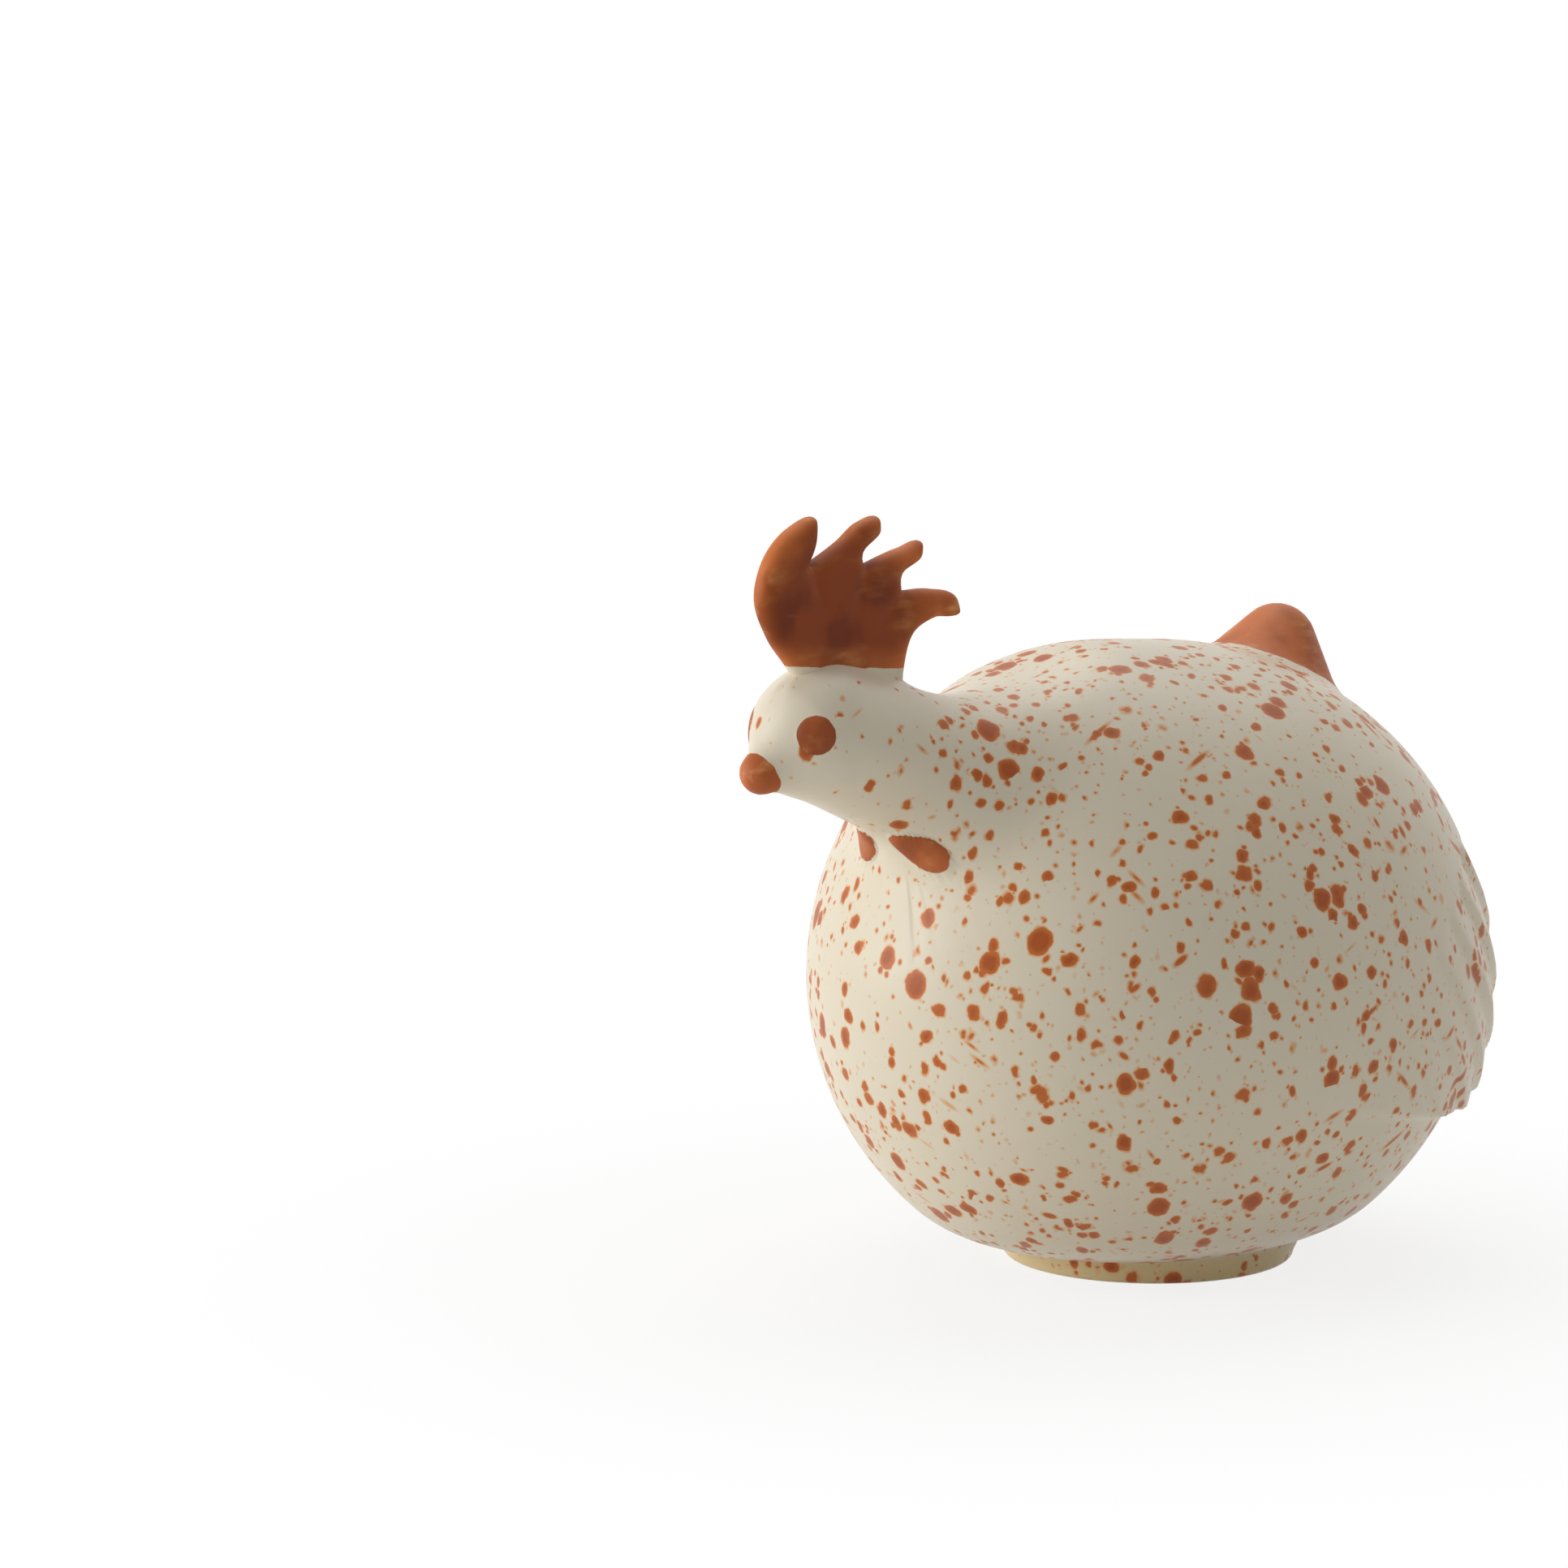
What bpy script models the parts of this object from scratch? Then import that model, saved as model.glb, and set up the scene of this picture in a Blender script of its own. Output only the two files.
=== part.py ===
"""A glazed stoneware rooster: one hollow slip casting, round as a ball, with a comb, a tail and folded wings.

Metres, +Z up. The bird faces -Y and X = 0 is its plane of symmetry. The origin is on the ground,
under the middle of the whole figure from beak to rump.
"""

import math

import bmesh
import bpy
import numpy as np
from mathutils import Matrix, Vector

# Body: an ellipsoid whose underside is cut flat
BODY_LENGTH = 0.1584
BODY_WIDTH = 0.1362
BODY_HEIGHT = 0.1420
UNDERSIDE_CUT = 0.0102
UNDERSIDE_HEIGHT = 0.0038
UNDERSIDE_BLEND = 0.010
WALL = 0.0045

# Shoulders: a ball that fills the body out above and behind the neck
SHOULDER_BACK = 0.0546
SHOULDER_DROP = 0.0410
SHOULDER_WIDTH = 0.0792
SHOULDER_BLEND = 0.012

# Foot ring and drain hole
FOOT_SHIFT = 0.0010
FOOT_WIDTH = 0.0640
FOOT_FLARE = 0.0016
FOOT_RING_WIDTH = 0.0065
FOOT_EDGE = 0.0016
FOOT_SINK = 0.0036
DRAIN_WIDTH = 0.0200

# Head and neck: one round limb that widens towards the body, with a dished nape behind it
HEAD_REACH = 0.0163
HEAD_DROP = 0.0115
HEAD_WIDTH = 0.0285
NECK_SLOPE = math.radians(20.7)
NECK_LENGTH = 0.075
NECK_WIDTH = 0.0388
NECK_BLEND = 0.014
NAPE_BACK = 0.0345
NAPE_RISE = 0.0200
NAPE_RADIUS = 0.0215
NAPE_BLEND = 0.014

# Beak
BEAK_LENGTH = 0.0227
BEAK_SLOPE = math.radians(23.2)
BEAK_START = 0.006
BEAK_START_WIDTH = 0.0234
BEAK_TIP_WIDTH = 0.0097
BEAK_BLEND = 0.003
BEAK_PAINT_AT = 0.0163
BEAK_PAINT_SLOPE = math.radians(37.0)

# Eyes and wattles
EYE_WIDTH = 0.0086
EYE_RISE = 0.0005
EYE_TURN = math.radians(45.0)
EYE_LIFT = math.radians(5.0)
WATTLE_LENGTH = 0.0150
WATTLE_WIDTH = 0.0078
WATTLE_RISE = 0.0014
WATTLE_BACK = 0.0298
WATTLE_TURN = math.radians(29.0)
WATTLE_SPLAY = math.radians(41.0)
WATTLE_TAPER = 0.30

# Comb: an upright plate with well rounded edges, sunk into the head
COMB_LENGTH = 0.0568
COMB_HEIGHT = 0.0328
COMB_OVERHANG = 0.0173
COMB_SINK = 0.0020
COMB_THICKNESS = 0.0062
COMB_EDGE = 0.0016

# Tail: a blunt cone on the rump that leans back
TAIL_INSET = 0.0366
TAIL_RISE = 0.0048
TAIL_LENGTH = 0.032
TAIL_WIDTH = 0.054
TAIL_TIP_WIDTH = 0.0176
TAIL_TIP_ARC = 72
TAIL_LEAN = math.radians(21.0)

# Wings: a smaller body set back and down so that it stands out of each flank behind and below only
WING_SHRINK = 0.0014
WING_BACK = 0.0053
WING_DROP = 0.0060
WING_LENGTH = 0.110
WING_HEIGHT = 0.054
WING_INSET = 0.0082
WING_LIFT = 0.0274

# Places that follow from the sizes: the body stands so that beak and rump lie equally far from the origin
BEAK_REACH = (BEAK_LENGTH - BEAK_TIP_WIDTH / 2) * math.cos(BEAK_SLOPE) + BEAK_TIP_WIDTH / 2
BODY_HALF = np.array([BODY_WIDTH, BODY_LENGTH, BODY_HEIGHT]) / 2
BODY_MIDDLE_Y = (HEAD_REACH + BEAK_REACH) / 2
BODY_CENTRE = np.array([0.0, BODY_MIDDLE_Y, UNDERSIDE_HEIGHT - UNDERSIDE_CUT + BODY_HEIGHT / 2])
BODY_FRONT_Y = BODY_CENTRE[1] - BODY_LENGTH / 2
BODY_REAR_Y = BODY_CENTRE[1] + BODY_LENGTH / 2
BODY_TOP = BODY_CENTRE[2] + BODY_HEIGHT / 2
FOOT_CENTRE_Y = BODY_CENTRE[1] + FOOT_SHIFT
HEAD_CENTRE = np.array([0.0, BODY_FRONT_Y - HEAD_REACH, BODY_TOP - HEAD_DROP])
NAPE_CENTRE = np.array([0.0, BODY_FRONT_Y + NAPE_BACK, BODY_TOP + NAPE_RISE])
SHOULDER_CENTRE = np.array([0.0, BODY_FRONT_Y + SHOULDER_BACK, BODY_TOP - SHOULDER_DROP])
COMB_FRONT_Y = HEAD_CENTRE[1] - COMB_OVERHANG
COMB_BASE_HEIGHT = HEAD_CENTRE[2] + HEAD_WIDTH / 2 - COMB_SINK
TAIL_TIP = Vector((0.0, BODY_REAR_Y - TAIL_INSET, BODY_TOP + TAIL_RISE))
WING_SHIFT = Vector((0.0, WING_BACK, -WING_DROP))
WING_REAR_Y = BODY_REAR_Y - WING_INSET
WING_TOP = BODY_CENTRE[2] + WING_LIFT
NECK_AXIS = np.array([0.0, -math.cos(NECK_SLOPE), math.sin(NECK_SLOPE)])
BEAK_AXIS = np.array([0.0, -math.cos(BEAK_SLOPE), -math.sin(BEAK_SLOPE)])

# Rings of the outer skin and of the hollow: round the rump, along the body, along the neck, round the beak
SIDES = 48
RINGS = (10, 13, 9, 9)
HOLLOW_SIDES = 24
HOLLOW_RINGS = (6, 6, 3, 5)

# Share of the way from the middle of the body to that of the head at which the body gives way to the neck
THROAT_SHARE = 0.77

# How straight the line from body to head starts out: 1 is straight, 0 a parabola
SPINE_STRAIGHTNESS = 0.35

# Rings crowd towards the beak's tip by this power
BEAK_CROWDING = 1.2

# Facets of the turned and rounded shapes
FOOT_STEPS = 56
TAIL_STEPS = 32
DRAIN_STEPS = 32
ARC_POINTS = 4
TIP_POINTS = 5
PAD_SEGMENTS = (20, 8)
WING_SEGMENTS = (64, 32)
OUTLINE_STEPS = 4
EDGE_STEPS = 2

# Search along a ray: even steps, then halvings
SEARCH_STEPS = 160
HALVINGS = 30
NUDGE = 0.00001
MERGE_DISTANCE = 0.00001
CUT_DISTANCE = 0.00002

# Comb outline as shares of its length back from the front and of its height over the head
COMB_OUTLINE = (
    (0.170, 0.000, "smooth"), (0.060, 0.240, "smooth"), (0.000, 0.490, "smooth"), (0.050, 0.770, "smooth"),
    (0.165, 0.940, "smooth"), (0.265, 0.985, "smooth"), (0.270, 0.850, "smooth"), (0.235, 0.690, "sharp"),
    (0.395, 0.830, "smooth"), (0.490, 0.935, "smooth"), (0.572, 0.955, "smooth"), (0.580, 0.870, "smooth"),
    (0.490, 0.710, "smooth"), (0.500, 0.660, "sharp"), (0.690, 0.750, "smooth"), (0.785, 0.775, "smooth"),
    (0.785, 0.690, "smooth"), (0.680, 0.555, "smooth"), (0.685, 0.475, "sharp"), (0.830, 0.470, "smooth"),
    (0.960, 0.400, "smooth"), (0.975, 0.300, "smooth"), (0.850, 0.280, "smooth"), (0.740, 0.190, "smooth"),
    (0.695, -0.010, "smooth"), (0.690, -0.260, "sharp"), (0.220, -0.200, "sharp"),
)

# Wing outline as shares of its length forward from the rear and of its height below the top
WING_OUTLINE = (
    (1.000, 0.55, "smooth"), (0.800, 0.25, "smooth"), (0.500, 0.05, "smooth"), (0.250, 0.00, "smooth"),
    (0.100, 0.05, "smooth"), (0.045, 0.17, "smooth"), (0.085, 0.25, "sharp"), (0.005, 0.38, "smooth"),
    (0.055, 0.47, "sharp"), (0.000, 0.60, "smooth"), (0.070, 0.68, "sharp"), (0.045, 0.82, "smooth"),
    (0.125, 0.87, "sharp"), (0.150, 0.98, "smooth"), (0.270, 1.00, "smooth"), (0.550, 0.93, "smooth"),
    (0.800, 0.80, "smooth"),
)

GLAZE_CREAM = (0.78, 0.75, 0.65, 1.0)
GLAZE_RUST = (0.40, 0.12, 0.035, 1.0)
SHARP_ANGLE = math.radians(40.0)


def clear_scene():
    for old in list(bpy.data.objects):
        bpy.data.objects.remove(old, do_unlink=True)


def make_collection(name):
    made = bpy.data.collections.new(name)
    bpy.context.scene.collection.children.link(made)
    return made


def make_glaze(name, colour, roughness):
    """One fired glaze: a plain colour with a satin surface."""
    material = bpy.data.materials.new(name)
    material.use_nodes = True
    shader = material.node_tree.nodes["Principled BSDF"]
    shader.inputs["Base Color"].default_value = colour
    shader.inputs["Roughness"].default_value = roughness
    shader.inputs["Metallic"].default_value = 0.0
    return material


def smooth_union(first, second, width):
    """The lesser of two gaps, rounded where they are within width of each other."""
    near = np.maximum(width - np.abs(first - second), 0.0) / width
    return np.minimum(first, second) - near * near * width / 4


def ellipsoid_gap(points, centre, half):
    """How far points lie outside an ellipsoid, less than zero inside it."""
    scaled = (points - centre) / half
    size = np.maximum(np.linalg.norm(scaled, axis=-1), 1e-6)
    slope = np.maximum(np.linalg.norm(scaled / half, axis=-1), 1e-6 / half.min())
    return size * (size - 1.0) / slope


def limb_gap(points, start, end, start_radius, end_radius):
    """How far points lie outside a round limb whose radius runs evenly from start to end."""
    along = end - start
    share = np.clip((points - start) @ along / (along @ along), 0.0, 1.0)[..., None]
    nearest = start + share * along
    radius = start_radius + (end_radius - start_radius) * share[..., 0]
    return np.linalg.norm(points - nearest, axis=-1) - radius


def skin_gap(points):
    """How far points lie outside the glazed skin: body, shoulders, neck, head and beak, run together."""
    shoulders = np.linalg.norm(points - SHOULDER_CENTRE, axis=-1) - SHOULDER_WIDTH / 2
    body = smooth_union(ellipsoid_gap(points, BODY_CENTRE, BODY_HALF), shoulders, SHOULDER_BLEND)
    nape = np.linalg.norm(points - NAPE_CENTRE, axis=-1) - NAPE_RADIUS
    body = -smooth_union(-body, nape, NAPE_BLEND)
    neck = limb_gap(
        points,
        HEAD_CENTRE,
        HEAD_CENTRE - NECK_LENGTH * NECK_AXIS,
        HEAD_WIDTH / 2,
        NECK_WIDTH / 2,
    )
    beak = limb_gap(
        points,
        HEAD_CENTRE + BEAK_START * BEAK_AXIS,
        HEAD_CENTRE + (BEAK_LENGTH - BEAK_TIP_WIDTH / 2) * BEAK_AXIS,
        BEAK_START_WIDTH / 2,
        BEAK_TIP_WIDTH / 2,
    )
    gap = smooth_union(smooth_union(body, neck, NECK_BLEND), beak, BEAK_BLEND)
    below = UNDERSIDE_HEIGHT - points[..., 2]
    return -smooth_union(-gap, -below, UNDERSIDE_BLEND)


def skin_reach(starts, directions, inset):
    """How far each ray runs before it leaves the skin drawn in by inset."""
    steps = np.linspace(0.0, BODY_LENGTH, SEARCH_STEPS)
    points = starts[:, None, :] + directions[:, None, :] * steps[None, :, None]
    outside = skin_gap(points) + inset > 0.0
    first = np.argmax(outside, axis=1)
    far = steps[first]
    near = far - (steps[1] - steps[0])
    for _ in range(HALVINGS):
        middle = (near + far) / 2
        out = skin_gap(starts + directions * middle[:, None]) + inset > 0.0
        far = np.where(out, middle, far)
        near = np.where(out, near, middle)
    return near


def skin_point(start, direction):
    """The point where one ray leaves the skin, and the skin's normal there."""
    direction = direction / np.linalg.norm(direction)
    point = start + direction * skin_reach(start[None], direction[None], 0.0)[0]
    nudge = np.eye(3) * NUDGE
    normal = np.array([skin_gap(point + n) - skin_gap(point - n) for n in nudge])
    return Vector(point), Vector(normal).normalized()


def skin_stations(rear_rings, body_rings, neck_rings, front_rings):
    """Ring places from rump to beak: centre, slope of the ring's axis, and half-angle of its cone of rays."""
    stations = []
    for i in range(1, rear_rings):
        stations.append((BODY_CENTRE, NECK_SLOPE, math.pi * (1.0 - 0.5 * i / rear_rings)))
    shares = [THROAT_SHARE * math.sin(0.5 * math.pi * i / body_rings) for i in range(body_rings + 1)]
    shares += [THROAT_SHARE + (1.0 - THROAT_SHARE) * i / neck_rings for i in range(1, neck_rings + 1)]
    rise = HEAD_CENTRE - BODY_CENTRE
    for share in shares:
        lift = SPINE_STRAIGHTNESS * share + (1.0 - SPINE_STRAIGHTNESS) * share ** 2
        centre = BODY_CENTRE + np.array([0.0, rise[1] * share, rise[2] * lift])
        turn = max(0.0, (share - THROAT_SHARE) / (1.0 - THROAT_SHARE))
        stations.append((centre, NECK_SLOPE - (NECK_SLOPE + BEAK_SLOPE) * turn, math.pi / 2))
    for i in range(1, front_rings):
        cone = 0.5 * math.pi * (1.0 - i / front_rings) ** BEAK_CROWDING
        stations.append((HEAD_CENTRE, -BEAK_SLOPE, cone))
    return stations


def loft_skin(inset, sides, rings):
    """A closed skin whose rings are found along rays from the middle of the body, neck and head."""
    built = bmesh.new()
    stations = skin_stations(*rings)
    angles = np.arange(sides) * 2 * math.pi / sides
    previous = None
    for centre, slope, cone in stations:
        axis = np.array([0.0, -math.cos(slope), math.sin(slope)])
        up = np.array([0.0, math.sin(slope), math.cos(slope)])
        across = np.array([1.0, 0.0, 0.0])
        around = np.cos(angles)[:, None] * up + np.sin(angles)[:, None] * across
        rays = math.cos(cone) * axis + math.sin(cone) * around
        reach = skin_reach(np.repeat(centre[None], sides, axis=0), rays, inset)
        ring = [built.verts.new(point) for point in centre + rays * reach[:, None]]
        if previous is None:
            tip = built.verts.new(end_point(centre, -axis, inset))
            for i in range(sides):
                built.faces.new((tip, ring[i], ring[i - 1]))
        else:
            for i in range(sides):
                built.faces.new((previous[i - 1], previous[i], ring[i], ring[i - 1]))
        previous = ring
    tip = built.verts.new(end_point(HEAD_CENTRE, BEAK_AXIS, inset))
    for i in range(sides):
        built.faces.new((tip, previous[i - 1], previous[i]))
    bmesh.ops.recalc_face_normals(built, faces=built.faces)
    return built


def end_point(start, direction, inset):
    return start + direction * skin_reach(start[None], direction[None], inset)[0]


def mesh_object(name, built):
    mesh = bpy.data.meshes.new(name)
    built.to_mesh(mesh)
    built.free()
    return bpy.data.objects.new(name, mesh)


def turned(name, profile, steps):
    """A solid turned about +Z from (radius, height) points that run down its outer side."""
    built = bmesh.new()
    corners = [built.verts.new((radius, 0.0, height)) for radius, height in profile]
    pairs = list(zip(corners, corners[1:]))
    if profile[0][0] > 0.0:
        pairs.append((corners[-1], corners[0]))
    for pair in pairs:
        built.edges.new(pair)
    made = mesh_object(name, built)
    screw = made.modifiers.new("Screw", "SCREW")
    screw.steps = steps
    screw.render_steps = steps
    screw.use_merge_vertices = True
    screw.merge_threshold = MERGE_DISTANCE
    return made


def quarter_arc(centre, radius, start, end, count):
    """Points of an arc from angle start to angle end, in degrees."""
    return [
        (centre[0] + radius * math.cos(math.radians(a)), centre[1] + radius * math.sin(math.radians(a)))
        for a in np.linspace(start, end, count)
    ]


def make_foot():
    """The foot ring, which widens a little towards the body and has rounded lower edges."""
    outer = FOOT_WIDTH / 2
    inner = outer - FOOT_RING_WIDTH
    top = UNDERSIDE_HEIGHT + FOOT_SINK
    profile = [(outer + FOOT_FLARE, top)]
    profile += quarter_arc((outer - FOOT_EDGE, FOOT_EDGE), FOOT_EDGE, 0, -90, ARC_POINTS)
    profile += quarter_arc((inner + FOOT_EDGE, FOOT_EDGE), FOOT_EDGE, -90, -180, ARC_POINTS)
    profile.append((inner, top))
    foot = turned("foot_ring", profile, FOOT_STEPS)
    foot.location.y = FOOT_CENTRE_Y
    return foot


def make_tail():
    """A blunt cone that leans back, its base inside the body."""
    tip = TAIL_TIP_WIDTH / 2
    flank = math.degrees(math.atan2(TAIL_WIDTH / 2 - tip, TAIL_LENGTH - tip))
    profile = [(0.0, 0.0)]
    profile += quarter_arc((0.0, -tip), tip, TAIL_TIP_ARC, flank, TIP_POINTS)
    profile += [(TAIL_WIDTH / 2, -TAIL_LENGTH), (0.0, -TAIL_LENGTH)]
    tail = turned("tail", profile, TAIL_STEPS)
    tail.rotation_euler.x = -TAIL_LEAN
    tail.location = TAIL_TIP
    return tail


def outline_plate(name, outline, place, thickness, edge):
    """A plate in the Y-Z plane with the given outline, its long edges rounded by edge."""
    curve = bpy.data.curves.new(name, "CURVE")
    curve.dimensions = "2D"
    curve.fill_mode = "BOTH"
    curve.extrude = thickness / 2 - edge
    curve.bevel_depth = edge
    curve.bevel_resolution = EDGE_STEPS
    curve.offset = -edge
    curve.resolution_u = OUTLINE_STEPS
    spline = curve.splines.new("BEZIER")
    spline.bezier_points.add(len(outline) - 1)
    spline.use_cyclic_u = True
    for point, (share_y, share_z, kind) in zip(spline.bezier_points, outline):
        point.co = (*place(share_y, share_z), 0.0)
        handle = "AUTO" if kind == "smooth" else "VECTOR"
        point.handle_left_type = handle
        point.handle_right_type = handle
    guide = bpy.data.objects.new(name, curve)
    guide.matrix_world = Matrix(((0, 0, 1, 0), (1, 0, 0, 0), (0, 1, 0, 0), (0, 0, 0, 1)))
    bpy.context.scene.collection.objects.link(guide)
    bpy.context.view_layer.update()
    mesh = bpy.data.meshes.new_from_object(guide.evaluated_get(bpy.context.evaluated_depsgraph_get()))
    built = bmesh.new()
    built.from_mesh(mesh)
    bmesh.ops.remove_doubles(built, verts=built.verts, dist=MERGE_DISTANCE)
    bmesh.ops.recalc_face_normals(built, faces=built.faces)
    built.to_mesh(mesh)
    built.free()
    plate = bpy.data.objects.new(name, mesh)
    plate.matrix_world = guide.matrix_world
    bpy.data.objects.remove(guide, do_unlink=True)
    return plate


def make_comb():
    def place(back, up):
        return back * COMB_LENGTH + COMB_FRONT_Y, COMB_BASE_HEIGHT + up * COMB_HEIGHT

    return outline_plate("comb", COMB_OUTLINE, place, COMB_THICKNESS, COMB_EDGE)


def flat_pad(name, long, wide, rise, start, direction, lengthwise, taper):
    """A rounded pad half sunk in the skin where a ray leaves it, its long axis turned along lengthwise."""
    point, normal = skin_point(start, direction)
    built = bmesh.new()
    bmesh.ops.create_uvsphere(built, u_segments=PAD_SEGMENTS[0], v_segments=PAD_SEGMENTS[1], radius=1.0)
    for vert in built.verts:
        vert.co.y *= 1.0 + taper * vert.co.x
        vert.co = Vector((vert.co.x * long / 2, vert.co.y * wide / 2, vert.co.z * rise))
    pad = mesh_object(name, built)
    long_axis = (lengthwise - lengthwise.dot(normal) * normal).normalized()
    turn = Matrix((long_axis, normal.cross(long_axis), normal)).transposed()
    pad.matrix_world = Matrix.Translation(point) @ turn.to_4x4()
    return pad


def make_eye(side):
    level = math.cos(EYE_LIFT)
    direction = np.array([side * level * math.sin(EYE_TURN), -level * math.cos(EYE_TURN), math.sin(EYE_LIFT)])
    return flat_pad("eye", EYE_WIDTH, EYE_WIDTH, EYE_RISE, HEAD_CENTRE, direction, Vector((0, 0, 1)), 0.0)


def make_wattle(side):
    """A teardrop pad under the throat, its point towards the beak."""
    start = HEAD_CENTRE - WATTLE_BACK * NECK_AXIS
    down = np.array([0.0, -math.sin(NECK_SLOPE), -math.cos(NECK_SLOPE)])
    across = np.array([float(side), 0.0, 0.0])
    direction = math.cos(WATTLE_TURN) * down + math.sin(WATTLE_TURN) * across
    lengthwise = Vector(math.sin(WATTLE_SPLAY) * across - math.cos(WATTLE_SPLAY) * NECK_AXIS)
    return flat_pad(
        "wattle", WATTLE_LENGTH, WATTLE_WIDTH, WATTLE_RISE, start, direction, lengthwise, WATTLE_TAPER
    )


def make_wing(side):
    """The part of the shifted body inside the wing's outline, on one flank."""
    def place(forward, down):
        return WING_REAR_Y - forward * WING_LENGTH, WING_TOP - down * WING_HEIGHT

    built = bmesh.new()
    bmesh.ops.create_uvsphere(built, u_segments=WING_SEGMENTS[0], v_segments=WING_SEGMENTS[1], radius=1.0)
    for vert in built.verts:
        vert.co = Vector(BODY_CENTRE) + vert.co * Vector(BODY_HALF - WING_SHRINK) + WING_SHIFT
    shifted = mesh_object("shifted_body", built)
    bpy.context.scene.collection.objects.link(shifted)
    wing = outline_plate("wing", WING_OUTLINE, place, BODY_WIDTH / 2, 0.0)
    wing.location.x = side * (BODY_WIDTH / 4 + WALL)
    bpy.context.scene.collection.objects.link(wing)
    bpy.context.view_layer.update()
    combine(wing, shifted, "INTERSECT")
    return wing, shifted


def combine(target, other, operation):
    cut = target.modifiers.new(f"{operation.title()} {other.name}", "BOOLEAN")
    cut.operation = operation
    cut.object = other
    cut.solver = "EXACT"
    cut.material_mode = "TRANSFER"


def keep_as_tool(obj, tools):
    """A shape that only joins or cuts: drawn as wire and left out of renders."""
    for home in list(obj.users_collection):
        home.objects.unlink(obj)
    tools.objects.link(obj)
    obj.hide_render = True
    obj.display_type = "WIRE"


def make_drain():
    """The hole that drained the mould, through the underside."""
    built = bmesh.new()
    radius = DRAIN_WIDTH / 2
    bmesh.ops.create_cone(
        built, cap_ends=True, segments=DRAIN_STEPS, radius1=radius, radius2=radius, depth=4 * WALL
    )
    drain = mesh_object("drain", built)
    drain.location = (0.0, FOOT_CENTRE_Y, UNDERSIDE_HEIGHT)
    return drain


def paint_beak(built):
    """Cuts the front of the head along a slanting plane and gives the faces of the beak the second glaze."""
    normal = Vector((0.0, -math.cos(BEAK_PAINT_SLOPE), -math.sin(BEAK_PAINT_SLOPE)))
    start = Vector(HEAD_CENTRE) + BEAK_PAINT_AT * Vector(BEAK_AXIS)
    faces = [face for face in built.faces if face.calc_center_median().y < HEAD_CENTRE[1]]
    edges = {edge for face in faces for edge in face.edges}
    verts = {vert for face in faces for vert in face.verts}
    front = [*verts, *edges, *faces]
    bmesh.ops.bisect_plane(built, geom=front, plane_co=start, plane_no=normal, dist=CUT_DISTANCE)
    for face in built.faces:
        middle = face.calc_center_median()
        face.material_index = int(middle.y < HEAD_CENTRE[1] and (middle - start).dot(normal) > 0.0)


def main():
    clear_scene()
    bird = make_collection("ceramic_rooster")
    tools = make_collection("joined_shapes_and_cutters")
    cream = make_glaze("speckled_glaze", GLAZE_CREAM, 0.35)
    rust = make_glaze("rust_glaze", GLAZE_RUST, 0.30)

    skin = loft_skin(0.0, SIDES, RINGS)
    paint_beak(skin)
    rooster = mesh_object("rooster", skin)
    rooster.data.materials.append(cream)
    rooster.data.materials.append(rust)
    bird.objects.link(rooster)

    foot = make_foot()
    joined = [(foot, cream)]
    for side in (1, -1):
        wing, shifted = make_wing(side)
        keep_as_tool(shifted, tools)
        shifted.data.materials.append(cream)
        joined.append((wing, cream))
    joined += [(make_tail(), rust), (make_comb(), rust)]
    joined += [(make_eye(side), rust) for side in (1, -1)]
    joined += [(make_wattle(side), rust) for side in (1, -1)]
    for shape, glaze in joined:
        shape.data.materials.append(glaze)
        keep_as_tool(shape, tools)
        combine(rooster, shape, "UNION")

    hollow = mesh_object("hollow", loft_skin(WALL, HOLLOW_SIDES, HOLLOW_RINGS))
    drain = make_drain()
    for cutter in (hollow, drain):
        cutter.data.materials.append(cream)
        keep_as_tool(cutter, tools)
        combine(rooster, cutter, "DIFFERENCE")
    for shape in bpy.data.objects:
        shape.data.shade_smooth()
        shape.data.set_sharp_from_angle(angle=SHARP_ANGLE)
    bpy.context.view_layer.update()


main()
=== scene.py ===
"""A glazed stoneware rooster, slip cast and splashed with rust brown. Metres, +Z up, the bird faces -Y."""
import math

import bpy
import numpy as np
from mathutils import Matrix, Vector


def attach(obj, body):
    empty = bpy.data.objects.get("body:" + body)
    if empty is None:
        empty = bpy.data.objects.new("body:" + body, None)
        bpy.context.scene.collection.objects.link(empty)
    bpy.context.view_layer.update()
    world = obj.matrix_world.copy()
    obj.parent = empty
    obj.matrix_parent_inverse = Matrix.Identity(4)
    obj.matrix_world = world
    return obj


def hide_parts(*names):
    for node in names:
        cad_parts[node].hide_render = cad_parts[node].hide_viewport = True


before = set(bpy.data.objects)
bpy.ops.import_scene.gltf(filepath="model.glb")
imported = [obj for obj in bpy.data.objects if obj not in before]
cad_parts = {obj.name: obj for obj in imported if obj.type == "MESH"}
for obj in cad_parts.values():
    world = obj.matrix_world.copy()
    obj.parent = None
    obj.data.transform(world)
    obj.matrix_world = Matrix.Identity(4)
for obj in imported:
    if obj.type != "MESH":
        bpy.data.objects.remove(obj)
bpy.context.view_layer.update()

MM = 0.001
TINY = 1e-6

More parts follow.
